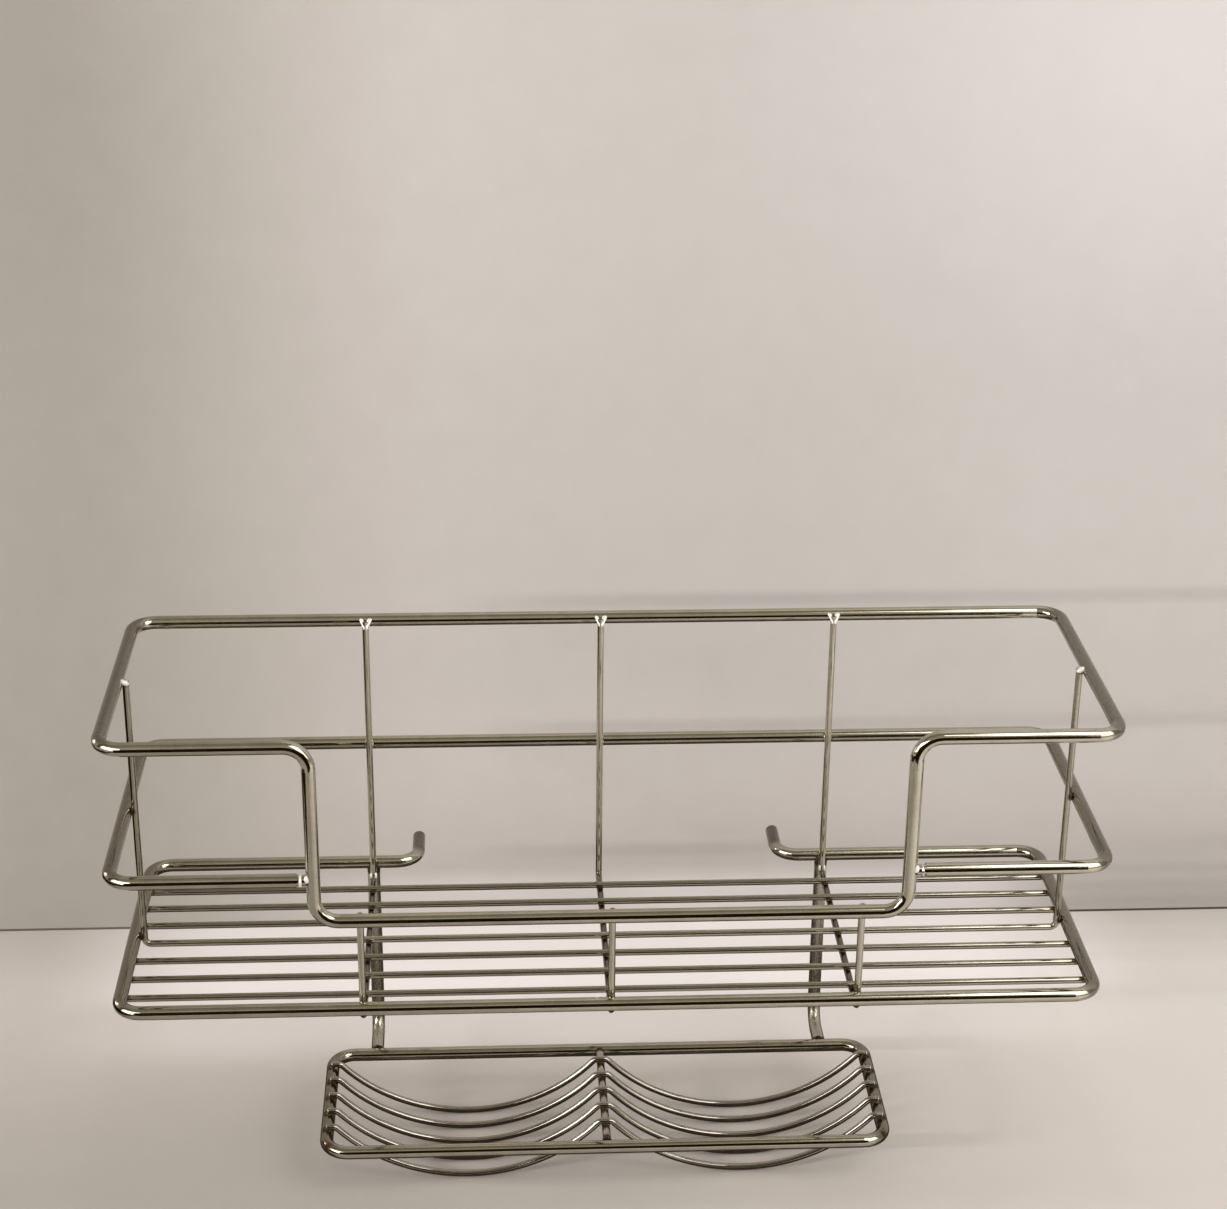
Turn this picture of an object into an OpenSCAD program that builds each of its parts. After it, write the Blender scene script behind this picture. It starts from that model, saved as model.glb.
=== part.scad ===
// Wire shower caddy: a basket with a dropped front, and a soap tray hung under it.
// Every piece is one length of round wire, and the pieces are welded where they cross or meet.
// The origin is the middle of the top rear rail, on the wire's centreline, where wall hooks hold it.
// +X is to the right, +Y is towards the wall, +Z is up. Lengths are in millimetres.

/* [Wire] */
// Diameter of the frame wire, which the rails, the hangers and the tray's rim are bent from
frame_wire = 5; // [4:0.5:6]
// Diameter of the fine wire, which the grid, the cross wires and the waves are made from
fine_wire = 2.5; // [2:0.25:3]
// Diameter of the tray's spine, which carries the crests of the waves
spine_wire = 3; // [2.5:0.25:4]
// Inside radius of the bends in the frame wire
frame_bend_inside = 6; // [4:0.5:8]
// Inside radius of the bends in the fine wire
fine_bend_inside = 1; // [0.5:0.25:2]
// How far two wires sink into each other where they are welded
weld_sink = 0.3; // [0.1:0.05:0.5]
// How far the end of a fine wire runs past the centreline of the rail it is welded to
end_over = 0.75; // [0:0.25:1.5]
// How much diameter a wire loses where it is bent tightly
bend_thinning = 0.05; // [0.05:0.01:0.1]
// Length of the weld neck between each end of the middle rail and the side of the leg it is welded to
neck_length = 3; // [1:0.25:4]
// Thickness of a weld neck as a share of the frame wire's diameter
neck_share = 0.8; // [0.6:0.05:0.9]

/* [Basket] */
// Width between the centrelines of the side rails
basket_width = 350; // [300:5:400]
// Depth between the centrelines of the front and rear rails
basket_depth = 106; // [90:2:130]
// Height of the top rim above the base frame
rim_height = 104; // [90:2:130]
// Height of the middle rail above the base frame
middle_height = 52.5; // [48:0.5:60]
// Width between the two legs of the dropped front
dip_width = 208; // [196:2:240]
// Height of the dropped front rail above the base frame
dip_height = 36; // [20:1:40]

/* [Floor] */
// Distance between neighbouring wires of the floor
grid_pitch = 12.6; // [10:0.2:15]

/* [Wall stand-offs] */
// Distance between the two wire ends that rest on the wall
standoff_spacing = 142; // [124:2:150]
// Distance from the rear rails' centreline to the wall
standoff_reach = 20; // [14:1:30]

/* [Soap tray] */
// Width between the centrelines of the tray's side rails
tray_width = 211; // [202:1:224]
// Depth between the centrelines of the tray's front and rear rails
tray_depth = 65; // [58:1:76]
// Depth of the tray's rim below the base frame
tray_drop = 76; // [60:2:100]
// Distance of each hanger, and of the cross wire in front of it, inwards from the tray's side rail
hanger_inset = 17; // [11:0.5:21]
// Distance between neighbouring wave wires
wave_pitch = 10.4; // [8:0.2:12]
// Depth of each hollow below the crests of the waves
wave_depth = 22.5; // [14:0.5:28]
// Inside radius of the bends at the crest and the tails of a wave wire
wave_bend_inside = 1.75; // [1:0.25:3]
// Length of the level crest on the spine, and of each level tail on a side rail
wave_land = 2; // [1:0.25:4]

/* [Hidden] */
steel = [0.72, 0.71, 0.66];
round_steps = 48;
shortest_straight = 0.01;
// A bend runs this far into the thicker wire at each of its ends, so that the two are one piece
bend_lap = 0.05;
// A bend is tight, and thins the wire, where its radius is under this many wire diameters
tight_bend = 4;
// How far a weld neck runs into the end of the wire behind it
neck_lap = 0.5;

frame_r = frame_wire / 2;
fine_r = fine_wire / 2;
frame_bend = frame_bend_inside + frame_r;
fine_bend = fine_bend_inside + fine_r;
wave_bend = wave_bend_inside + fine_r;

// Distance between the centrelines of two wires welded side by side or across each other
frame_to_fine = frame_r + fine_r - weld_sink;
fine_to_fine = fine_wire - weld_sink;
// Distance from a frame wire's centreline to the cut end of a wire butted against its side
frame_to_butt = frame_r - weld_sink;

side_x = basket_width / 2;
front_y = -basket_depth;
middle_y = front_y / 2;
leg_x = dip_width / 2;
base_z = -rim_height;
middle_z = base_z + middle_height;
dip_z = base_z + dip_height;
floor_z = base_z - frame_to_fine;
cross_z = floor_z - fine_to_fine;
standoff_x = standoff_spacing / 2;

tray_x = tray_width / 2;
hanger_x = tray_x - hanger_inset;
tray_rear_y = middle_y + tray_depth / 2;
tray_front_y = middle_y - tray_depth / 2;
tray_z = base_z - tray_drop;
crest_z = tray_z + frame_to_fine;
spine_z = tray_z + frame_r - spine_wire / 2;

// Wires of the floor and of the tray, counted from the rear; the hoop is the middle one of the floor
floor_rows = [-3, -2, -1, 1, 2, 3];
wave_rows = [-2, -1, 0, 1, 2];

// ---- Bent wire ----

function unit(v) = v / norm(v);
function turn_angle(a, b, c) = acos(max(-1, min(1, unit(b - a) * unit(c - b))));
// Length of leg that a bend of radius r takes up on each side of the corner b
function bend_trim(a, b, c, r) = r * tan(turn_angle(a, b, c) / 2);
function list_trims(points, radii) = [
    for (i = [0 : len(points) - 1])
        i == 0 || i == len(points) - 1 ? 0 : bend_trim(points[i - 1], points[i], points[i + 1], radii[i - 1])
];
function frame_matrix(x, y, z, at) = [
    [x[0], y[0], z[0], at[0]],
    [x[1], y[1], z[1], at[1]],
    [x[2], y[2], z[2], at[2]],
    [0, 0, 0, 1]
];
// Any direction square to v
function square_to(v) = unit(cross(v, abs(v[2]) < 0.9 ? [0, 0, 1] : [1, 0, 0]));

// The straight part of the leg from a to b, once the bends at its ends have taken their share
module straight_wire(a, b, trim_a, trim_b, wire) {
    along = unit(b - a);
    run = norm(b - a) - trim_a - trim_b;
    across = square_to(along);
    if (run > shortest_straight)
        multmatrix(frame_matrix(across, cross(along, across), along, a + along * trim_a))
            cylinder(h = run, d = wire, $fn = round_steps);
}

// The bend at corner b: a slice of a torus, in line with both legs
module corner_bend(a, b, c, r, wire) {
    going_in = unit(b - a);
    going_out = unit(c - b);
    turn = turn_angle(a, b, c);
    centre = b + unit(going_out - going_in) * r / cos(turn / 2);
    outwards = unit(b - going_in * bend_trim(a, b, c, r) - centre);
    tight = r < tight_bend * wire;
    lap_angle = tight ? bend_lap / r * 180 / PI : 0;
    multmatrix(frame_matrix(outwards, going_in, cross(outwards, going_in), centre))
        rotate_extrude(angle = turn + 2 * lap_angle, start = -lap_angle, $fn = round_steps)
            translate([r, 0])
                circle(d = tight ? wire - bend_thinning : wire, $fn = round_steps);
}

// A wire through the given corner points, with one bend radius for each inner corner
module bent_wire(points, radii, wire) {
    trims = list_trims(points, radii);
    for (i = [0 : len(points) - 2])
        straight_wire(points[i], points[i + 1], trims[i], trims[i + 1], wire);
    for (i = [1 : len(points) - 2])
        corner_bend(points[i - 1], points[i], points[i + 1], radii[i - 1], wire);
}

// The same, with all bends alike
module evenly_bent_wire(points, r, wire) {
    bent_wire(points, [for (i = [1 : len(points) - 2]) r], wire);
}

// ---- Basket frame ----

// Closed ring: its ends are butt-welded in the middle of the rear rail
module top_rim() {
    color(steel)
        evenly_bent_wire([
            [0, 0, 0],
            [-side_x, 0, 0], [-side_x, front_y, 0],
            [-leg_x, front_y, 0], [-leg_x, front_y, dip_z],
            [leg_x, front_y, dip_z], [leg_x, front_y, 0],
            [side_x, front_y, 0], [side_x, 0, 0],
            [0, 0, 0]
        ], frame_bend, frame_wire);
}

// Open at the front: its ends stop just short of the outer sides of the rim's legs, and a narrower
// neck of weld metal joins each of them to its leg
module middle_rail() {
    end_x = leg_x + frame_r + neck_length;
    color(steel)
        evenly_bent_wire([
            [-end_x, front_y, middle_z],
            [-side_x, front_y, middle_z], [-side_x, 0, middle_z],
            [side_x, 0, middle_z], [side_x, front_y, middle_z],
            [end_x, front_y, middle_z]
        ], frame_bend, frame_wire);
    for (side = [-1, 1])
        color(steel)
            straight_wire(
                [side * (leg_x + frame_to_butt), front_y, middle_z],
                [side * (end_x + neck_lap), front_y, middle_z], 0, 0, neck_share * frame_wire);
}

// Open at the rear: its ends turn back and rest on the wall
module base_frame() {
    color(steel)
        evenly_bent_wire([
            [-standoff_x, standoff_reach, base_z],
            [-standoff_x, 0, base_z], [-side_x, 0, base_z],
            [-side_x, front_y, base_z], [side_x, front_y, base_z],
            [side_x, 0, base_z], [standoff_x, 0, base_z],
            [standoff_x, standoff_reach, base_z]
        ], frame_bend, frame_wire);
}

// ---- Basket floor ----

// The middle wire of the floor, bent up inside the side rails as far as the rim
module floor_hoop() {
    upright_x = side_x - frame_to_fine;
    color(steel)
        evenly_bent_wire([
            [-upright_x, middle_y, end_over], [-upright_x, middle_y, floor_z],
            [upright_x, middle_y, floor_z], [upright_x, middle_y, end_over]
        ], fine_bend, fine_wire);
}

// A straight wire of the floor, welded under the side rails
module floor_wire(row) {
    end_x = side_x + end_over;
    row_y = middle_y - row * grid_pitch;
    color(steel)
        straight_wire([-end_x, row_y, floor_z], [end_x, row_y, floor_z], 0, 0, fine_wire);
}

// Down inside the rear rails, forward under the floor, and up inside the front rails
module cross_wire(x) {
    rear_y = -frame_to_fine;
    near_y = front_y + frame_to_fine;
    color(steel)
        evenly_bent_wire([
            [x, rear_y, end_over], [x, rear_y, cross_z],
            [x, near_y, cross_z], [x, near_y, dip_z + end_over]
        ], fine_bend, fine_wire);
}

// ---- Soap tray ----

// Down from under the base frame's rear rail, then forward to the tray's rear rail
module hanger(x) {
    color(steel)
        evenly_bent_wire([
            [x, 0, base_z - frame_to_butt],
            [x, 0, tray_z],
            [x, tray_rear_y + frame_to_butt, tray_z]
        ], frame_bend, frame_wire);
}

// Closed ring: its ends are butt-welded in the middle of the front rail
module tray_rim() {
    color(steel)
        evenly_bent_wire([
            [0, tray_front_y, tray_z],
            [-tray_x, tray_front_y, tray_z], [-tray_x, tray_rear_y, tray_z],
            [tray_x, tray_rear_y, tray_z], [tray_x, tray_front_y, tray_z],
            [0, tray_front_y, tray_z]
        ], frame_bend, frame_wire);
}

// Butted between the tray's front and rear rails, with its top level with theirs
module tray_spine() {
    color(steel)
        straight_wire(
            [0, tray_front_y + frame_to_butt, spine_z],
            [0, tray_rear_y - frame_to_butt, spine_z], 0, 0, spine_wire);
}

// One wave wire: level tails on the side rails, a level crest on the spine, and two round hollows.
// Each hollow is one arc that runs straight into the bends beside it, so its radius and its slope
// follow from its width and its depth.
module wave_wire(row) {
    crest_x = wave_land / 2;
    tail_x = tray_x - wave_land;
    hollow_x = (crest_x + tail_x) / 2;
    half_span = (tail_x - crest_x) / 2;
    both_radii = (half_span * half_span + wave_depth * wave_depth) / (2 * wave_depth);
    hollow_r = both_radii - wave_bend;
    slope = asin(half_span / both_radii);
    land_to_corner = wave_bend * tan(slope / 2);
    hollow_z = crest_z - wave_depth + hollow_r - hollow_r / cos(slope);
    right_half = [
        [crest_x + land_to_corner, crest_z], [hollow_x, hollow_z], [tail_x - land_to_corner, crest_z],
        [tray_x, crest_z]
    ];
    left_half = [for (i = [len(right_half) - 1 : -1 : 0]) [-right_half[i][0], right_half[i][1]]];
    corners = [for (p = concat(left_half, right_half)) [p[0], middle_y - row * wave_pitch, p[1]]];
    radii = [wave_bend, hollow_r, wave_bend, wave_bend, hollow_r, wave_bend];
    color(steel) bent_wire(corners, radii, fine_wire);
}

top_rim();
middle_rail();
base_frame();
floor_hoop();
for (i = [0 : len(floor_rows) - 1])
    floor_wire(floor_rows[i]);
cross_wire(-hanger_x);  // cross_wire_left
cross_wire(0);  // cross_wire_middle
cross_wire(hanger_x);  // cross_wire_right
hanger(-hanger_x);  // hanger_left
hanger(hanger_x);  // hanger_right
tray_rim();
tray_spine();
for (i = [0 : len(wave_rows) - 1])
    wave_wire(wave_rows[i]);
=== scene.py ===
# %% [markdown]
# # A wire shower caddy
#
# The object is a basket and a soap tray, both made of round stainless steel wire. The wires
# themselves come from the construction model, at their exact sizes, and this lesson adds what a
# bench welder and a polishing drum leave on them: weld beads, flared joints, rounded wire ends and
# the finish of the metal. It ends with a floor, a wall, the lights and the camera.
#
# Each of its nodes is one wire, and nothing here moves or reshapes them.

# %% Load the frame
import math

import bmesh
import bpy
from mathutils import Matrix, Vector


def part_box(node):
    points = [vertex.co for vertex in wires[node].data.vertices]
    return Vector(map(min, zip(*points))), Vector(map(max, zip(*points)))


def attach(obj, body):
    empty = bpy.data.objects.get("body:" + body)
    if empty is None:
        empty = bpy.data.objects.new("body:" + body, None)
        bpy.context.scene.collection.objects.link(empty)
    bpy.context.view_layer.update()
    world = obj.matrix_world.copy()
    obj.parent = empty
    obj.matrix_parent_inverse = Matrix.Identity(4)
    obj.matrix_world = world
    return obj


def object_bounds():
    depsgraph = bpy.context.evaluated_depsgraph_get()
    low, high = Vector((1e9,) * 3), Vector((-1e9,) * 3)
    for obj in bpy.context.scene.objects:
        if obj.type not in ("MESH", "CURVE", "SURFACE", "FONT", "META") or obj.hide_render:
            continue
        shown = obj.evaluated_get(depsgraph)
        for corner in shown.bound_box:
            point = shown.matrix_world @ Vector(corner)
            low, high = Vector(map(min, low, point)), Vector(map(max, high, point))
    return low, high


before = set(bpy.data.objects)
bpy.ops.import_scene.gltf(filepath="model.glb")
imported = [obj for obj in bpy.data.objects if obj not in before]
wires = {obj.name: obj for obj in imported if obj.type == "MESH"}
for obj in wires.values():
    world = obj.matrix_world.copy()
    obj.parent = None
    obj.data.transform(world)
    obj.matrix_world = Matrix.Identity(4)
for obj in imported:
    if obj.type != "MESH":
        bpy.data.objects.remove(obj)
cad_low, cad_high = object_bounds()
print("wires in the frame:", len(wires))
print("size in mm:", [round(1000 * side) for side in cad_high - cad_low])

# %% [markdown]
# ## The sizes that everything else follows
#
# Positions are read from the boxes round the wires, so that the added pieces stay on the wires if
# the construction changes. A rail runs along its box's edge, one wire radius inside it.

# %% Read the sizes from the wires
MM = 0.001
X_AXIS, Y_AXIS, Z_AXIS = range(3)
rim_low, rim_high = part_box("top_rim")
mid_low, mid_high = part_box("middle_rail")
base_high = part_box("base_frame")[1]
hoop_low, hoop_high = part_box("floor_hoop")
tray_low, tray_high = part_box("tray_rim")
spine_low, spine_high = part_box("tray_spine")
cross_low, cross_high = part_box("cross_wire_right")
hanger_low, hanger_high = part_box("hanger_right")


def middle(node, axis):
    """The middle of a node's box along one axis."""
    low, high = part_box(node)
    return (low[axis] + high[axis]) / 2


frame_r = (mid_high.z - mid_low.z) / 2
fine_r = (hoop_high.y - hoop_low.y) / 2
spine_r = (spine_high.x - spine_low.x) / 2
side_x = mid_high.x - frame_r
rear_y = mid_high.y - frame_r
front_y = mid_low.y + frame_r
rim_z = rim_high.z - frame_r
dip_z = rim_low.z + frame_r
mid_z = middle("middle_rail", Z_AXIS)
base_z = middle("base_frame", Z_AXIS)
floor_z = hoop_low.z + fine_r
cross_z = cross_low.z + fine_r
hoop_y = middle("floor_hoop", Y_AXIS)
upright_x = hoop_high.x - fine_r
hanger_x = middle("hanger_right", X_AXIS)
upright_rear_y = cross_high.y - fine_r
upright_front_y = cross_low.y + fine_r
tray_side_x = tray_high.x - frame_r
tray_z = middle("tray_rim", Z_AXIS)
tray_rear_y = tray_high.y - frame_r
tray_front_y = tray_low.y + frame_r
row_ys = sorted([middle(f"floor_wire_{i}", Y_AXIS) for i in range(1, 7)] + [hoop_y])
wave_ys = [middle(f"wave_wire_{i}", Y_AXIS) for i in range(1, 6)]
row_pitch = (row_ys[-1] - row_ys[0]) / (len(row_ys) - 1)
wave_pitch = (max(wave_ys) - min(wave_ys)) / (len(wave_ys) - 1)
crest_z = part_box("wave_wire_3")[1].z - fine_r
print("frame wire, fine wire, spine in mm:", [round(2000 * r, 2) for r in (frame_r, fine_r, spine_r)])
print("floor pitch and wave pitch in mm:", round(1000 * row_pitch, 2), round(1000 * wave_pitch, 2))

# %% [markdown]
# ## The camera
#
# The picture is taken from a little above, and slightly to the left of the middle, with a long
# lens. A camera looks along its own -Z, so its turn is built from three directions: right, up and
# back. A small roll tips the horizon as a camera held by hand does.

# %% Place the camera
CAMERA_PLACE = Vector((-0.0432, -0.8618, 0.3788))
CAMERA_HEADING = math.radians(3.20)
CAMERA_DIP = math.radians(23.41)
CAMERA_ROLL = math.radians(0.59)
LENS = 73.0
SENSOR_WIDTH = 36


def camera_turn(heading, dip, roll):
    """The camera's turn for a heading from +Y towards +X, a dip below the horizon and a roll."""
    ahead = Vector((math.sin(heading) * math.cos(dip), math.cos(heading) * math.cos(dip), -math.sin(dip)))
    level_right = ahead.cross(Vector((0, 0, 1))).normalized()
    level_up = level_right.cross(ahead)
    right = level_right * math.cos(roll) + level_up * math.sin(roll)
    up = right.cross(ahead)
    return Matrix((right, up, -ahead)).transposed()


camera = bpy.data.objects.new("camera", bpy.data.cameras.new("camera"))
camera.data.sensor_width = SENSOR_WIDTH
camera.data.lens = LENS
camera.data.clip_start = 0.01
turn = camera_turn(CAMERA_HEADING, CAMERA_DIP, CAMERA_ROLL)
camera.matrix_world = Matrix.Translation(CAMERA_PLACE) @ turn.to_4x4()
bpy.context.collection.objects.link(camera)
bpy.context.scene.camera = camera
bpy.context.scene.view_settings.view_transform = "Standard"
print("camera at", [round(v, 3) for v in camera.location], "with a lens of", LENS, "mm")

# %% [markdown]
# ## Shader sums written as Python
#
# A material is a graph of nodes. Written out by hand, even `1 - a * b` takes three nodes and four
# links, so one small class wraps a socket and gives it Python's own operators. Its `node` method
# makes any other node: settings first, then the values or links of its sockets.

# %% A socket that can be calculated with
class Signal:
    """A shader socket. Sums on signals add Math nodes to the same tree."""

    def __init__(self, socket):
        self.socket = socket
        self.tree = socket.id_data

    def node(self, kind, settings=None, inputs=None, output=0):
        """Adds a node of any kind and returns one of its outputs as a signal."""
        made = self.tree.nodes.new(kind)
        for name, value in (settings or {}).items():
            setattr(made, name, value)
        for name, value in (inputs or {}).items():
            if isinstance(value, Signal):
                self.tree.links.new(value.socket, made.inputs[name])
            else:
                made.inputs[name].default_value = value
        return Signal(made.outputs[output])

    def calc(self, operation, *others):
        values = dict(enumerate((self, *others)))
        return self.node("ShaderNodeMath", {"operation": operation}, values)

    def __add__(self, other):
        return self.calc("ADD", other)

    def __radd__(self, other):
        return self.calc("ADD", other)

    def __sub__(self, other):
        return self.calc("SUBTRACT", other)

    def __rsub__(self, other):
        return self.node("ShaderNodeMath", {"operation": "SUBTRACT"}, {0: other, 1: self})

    def __mul__(self, other):
        return self.calc("MULTIPLY", other)

    def __rmul__(self, other):
        return self.calc("MULTIPLY", other)

    def __truediv__(self, other):
        return self.calc("DIVIDE", other)

    def __abs__(self):
        return self.calc("ABSOLUTE")

    def larger(self, other):
        return self.calc("MAXIMUM", other)

    def smaller(self, other):
        return self.calc("MINIMUM", other)

    def rise(self, start, end):
        """0 below start, 1 above end and an S-shaped rise between them. It falls if end is the lower."""
        settings = {"interpolation_type": "SMOOTHSTEP"}
        if start < end:
            return self.node("ShaderNodeMapRange", settings, {0: self, 1: start, 2: end, 3: 0.0, 4: 1.0})
        return self.node("ShaderNodeMapRange", settings, {0: self, 1: end, 2: start, 3: 1.0, 4: 0.0})

    def blend(self, low, high):
        """A colour that goes from low to high as this signal goes from 0 to 1."""
        settings = {"data_type": "RGBA", "clamp_factor": True}
        return self.node("ShaderNodeMix", settings, {"Factor": self, 6: low, 7: high}, output=2)


def fresh_material(name):
    """An empty node material, its surface output and the object's own coordinates."""
    material = bpy.data.materials.new(name)
    material.use_nodes = True
    tree = material.node_tree
    tree.nodes.clear()
    surface = tree.nodes.new("ShaderNodeOutputMaterial").inputs["Surface"]
    place = Signal(tree.nodes.new("ShaderNodeTexCoord").outputs["Object"])
    return material, surface, place


def split(vector):
    """The x, y and z of a vector signal."""
    parts = vector.node("ShaderNodeSeparateXYZ", inputs={0: vector}).socket.node
    return [Signal(parts.outputs[i]) for i in range(3)]


def grain(place, scale, detail=3.0, roughness=0.55, stretch=(1, 1, 1), shift=(0, 0, 0)):
    """Cloudy noise about the middle value 0.5. A stretch below 1 draws it out along that axis."""
    moved = place.node("ShaderNodeMapping", inputs={0: place, 1: shift, 3: stretch})
    inputs = {"Vector": moved, "Scale": scale, "Detail": detail, "Roughness": roughness}
    return place.node("ShaderNodeTexNoise", inputs=inputs)

# %% [markdown]
# ## Polished steel wire
#
# The real wire is drawn through a die, bent, welded and tumbled bright. Seen close, it isn't one
# flat mirror: long faint lines run along it from the die, cloudy patches are a little duller, fine
# pits catch the light, and round each weld the heat has left straw, brown and nearly black colours.
#
# One recipe makes all of it. What differs from wire to wire is where its welds are and which way
# it runs, so each wire's material gets two masks: `heat_at` is 1 at a weld, and `along_at` is 1 where
# the wire runs front to back instead of side to side. On most wires the stretches that run front to
# back are given a darker, mottled colour, which is painted shade. The floor's wires are painted
# darker than the rails too, as painted shade, and the waves have a colour of their own, a little
# darker than the rails'.

# %% The recipe for the steel
STEEL_LIGHT = (0.490, 0.462, 0.386, 1)
STEEL_DULL = (0.395, 0.365, 0.290, 1)
# The floor wires' darker colours are painted shade.
FLOOR_WIRE_SHADED_LIGHT = (0.385, 0.358, 0.300, 1)
FLOOR_WIRE_SHADED_DULL = (0.310, 0.283, 0.225, 1)
WAVE_LIGHT = (0.445, 0.408, 0.366, 1)
WAVE_DULL = (0.350, 0.317, 0.276, 1)
# The darker colour painted on runs that go front to back: painted shade.
SIDE_RUN_SHADE = (0.165, 0.142, 0.115, 1)
STRAW = (0.240, 0.180, 0.100, 1)
BURNT = (0.050, 0.038, 0.028, 1)
# Scales of the noise: the larger, the finer the pattern.
CLOUDS = 90
MOTTLE = 700
DIE_LINES = 900
PITS = 2600
DRAWN_OUT = 0.02  # the lines from the die run fifty times as long as they are wide
POLISH = 0.055


def steel(name, heat_at, along_at, polish=POLISH, side_run_shade=0.0, light=STEEL_LIGHT, dull_light=STEEL_DULL):
    """Drawn and polished steel wire. heat_at and along_at turn x, y, z in metres into masks.

    Polish is the roughness of the brightest metal. The argument after it is the share of painted
    shade, a darker mottled colour, on the parts that run front to back. The metal's colour is light,
    and dull_light in its dull patches."""
    material, surface, place = fresh_material(name)
    x, y, z = split(place)
    along = along_at(x, y, z)
    lines_x = grain(place, DIE_LINES, detail=2.0, stretch=(DRAWN_OUT, 1, 1))
    lines_y = grain(place, DIE_LINES, detail=2.0, stretch=(1, DRAWN_OUT, 1))
    lines = lines_x * (1 - along) + lines_y * along
    patches = grain(place, CLOUDS, detail=4.0, roughness=0.6)
    mottle = grain(place, MOTTLE, detail=5.0, roughness=0.7)
    pits = grain(place, PITS, detail=2.0).rise(0.70, 0.78)
    ragged = heat_at(x, y, z) + (mottle - 0.5) * 0.7
    straw = ragged.rise(0.18, 0.62)
    burnt = ragged.rise(0.55, 1.05)
    dull = (patches.rise(0.40, 0.68) * 0.55 + mottle.rise(0.35, 0.75) * 0.45 + pits * 0.4).smaller(1.0)
    bare = dull.blend(light, dull_light)
    # Painted shade: runs that go front to back get a darker, mottled colour.
    if side_run_shade:
        bare = (along * side_run_shade * (mottle * 0.9 + 0.55)).blend(bare, SIDE_RUN_SHADE)
    colour = burnt.blend(straw.blend(bare, STRAW), BURNT)
    rough = polish + dull * 0.07 + (lines - 0.5) * 0.08 + straw * 0.12 + burnt * 0.30
    height = lines * 0.5 + mottle * 0.35 - pits * 0.5 + burnt * mottle * 2.0
    bump = place.node("ShaderNodeBump", inputs={"Strength": 0.12, "Distance": 0.0001, "Height": height})
    inputs = {"Base Color": colour, "Metallic": 1.0, "Roughness": rough.larger(0.04), "Normal": bump}
    skin = place.node("ShaderNodeBsdfPrincipled", inputs=inputs)
    material.node_tree.links.new(skin.socket, surface)
    print(name, "has", len(material.node_tree.nodes), "nodes")
    return material


def dress(node, material):
    """Gives a wire from the frame its finish."""
    for slot in wires[node].material_slots:
        slot.material = material

# %% [markdown]
# ### Heat marks on each kind of wire
#
# The heat of a weld colours a small round patch about the point where two wires touch, so a mark
# is written as a distance from that point in x, y and z. The caddy is the same on its left and
# right, so x is folded at the middle. Rows that repeat are folded onto one row with the WRAP
# operation, and one formula then marks them all.

# %% Distances from the welds
# The legs are the straight uprights beside the dropped front. The arms are the middle rail's front
# runs, which keep their full thickness up to arm_x and are thinner in the weld neck beyond it.
LEG_SPAN = 12 * MM
leg_x = min(abs(v.co.x) for v in wires["top_rim"].data.vertices
            if abs(v.co.z - mid_z) < LEG_SPAN and v.co.y < front_y + frame_r) + frame_r
arm_x = min(v.co.x for v in wires["middle_rail"].data.vertices
            if v.co.x > 0 and v.co.y < front_y + frame_r and abs(v.co.z - mid_z) > frame_r * 0.95)
print("legs at x =", round(1000 * leg_x, 2), "mm, arms end at x =", round(1000 * arm_x, 2), "mm")


def folded(signal, start, pitch):
    """Distance from the nearest of a row of places, one pitch apart."""
    return (signal - start).calc("WRAP", pitch / 2, -pitch / 2)


def spot(dx, dy, dz, reach):
    """1 at a point, fading to 0 one reach away from it. Two of the distances may be plain numbers."""
    squares = [d * d for d in (dx, dy, dz)]
    distance = (squares[0] + squares[1] + squares[2]).calc("SQRT")
    return distance.rise(reach, reach * 0.25)


def from_cross(x):
    """Distance along x from the nearest of the three cross wires."""
    return abs(x).smaller(abs(abs(x) - hanger_x))


def on_sides(x, y, z):
    """1 on a basket rail's side runs, which go front to back."""
    return abs(x).rise(side_x - 6 * MM, side_x - 2 * MM)

# %% Marks on the basket's rails
inner_front_y = front_y + frame_r
inner_rear_y = rear_y - frame_r
inner_side_x = side_x - frame_r


def rim_heat(x, y, z):
    rear = spot(from_cross(x), y - inner_rear_y, z - (rim_z - 1 * MM), 2.4 * MM) * 0.7
    dip = spot(from_cross(x), y - inner_front_y, z - dip_z, 2.8 * MM)
    hoop = spot(abs(x) - inner_side_x, y - hoop_y, z - rim_z, 2.6 * MM)
    leg = spot(abs(x) - (leg_x + frame_r), y - front_y, z - mid_z, 3.0 * MM) * 0.8
    return rear.larger(dip).larger(hoop).larger(leg)


def middle_heat(x, y, z):
    rear = spot(from_cross(x), y - inner_rear_y, z - mid_z, 3.0 * MM) * 0.8
    hoop = spot(abs(x) - inner_side_x, y - hoop_y, z - mid_z, 2.8 * MM)
    from_neck = abs(x) - (leg_x + frame_r + 1 * MM)
    neck = spot(from_neck, y - front_y, z - (mid_z - 1.5 * MM), 3.0 * MM) * 0.7
    return rear.larger(hoop).larger(neck)


def base_heat(x, y, z):
    under = z - (base_z - frame_r)
    rows = spot(abs(x) - side_x, folded(y, hoop_y, row_pitch), under, 2.8 * MM)
    crossing = spot(from_cross(x), abs(y - hoop_y) - (hoop_y - inner_front_y), z - base_z, 2.8 * MM)
    hanger = spot(abs(x) - hanger_x, y - rear_y, under, 3.2 * MM)
    return rows.larger(crossing).larger(hanger)


def on_sides_and_stand_offs(x, y, z):
    """1 on the base frame's side runs and on the two ends that turn back to the wall."""
    return on_sides(x, y, z).larger(y.rise(rear_y + 3 * MM, rear_y + 8 * MM) * 1.4)


dress("top_rim", steel("rim_steel", rim_heat, on_sides, side_run_shade=0.8))
dress("middle_rail", steel("middle_rail_steel", middle_heat, on_sides, side_run_shade=0.8))
dress("base_frame", steel("base_steel", base_heat, on_sides_and_stand_offs, side_run_shade=0.7))

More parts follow.
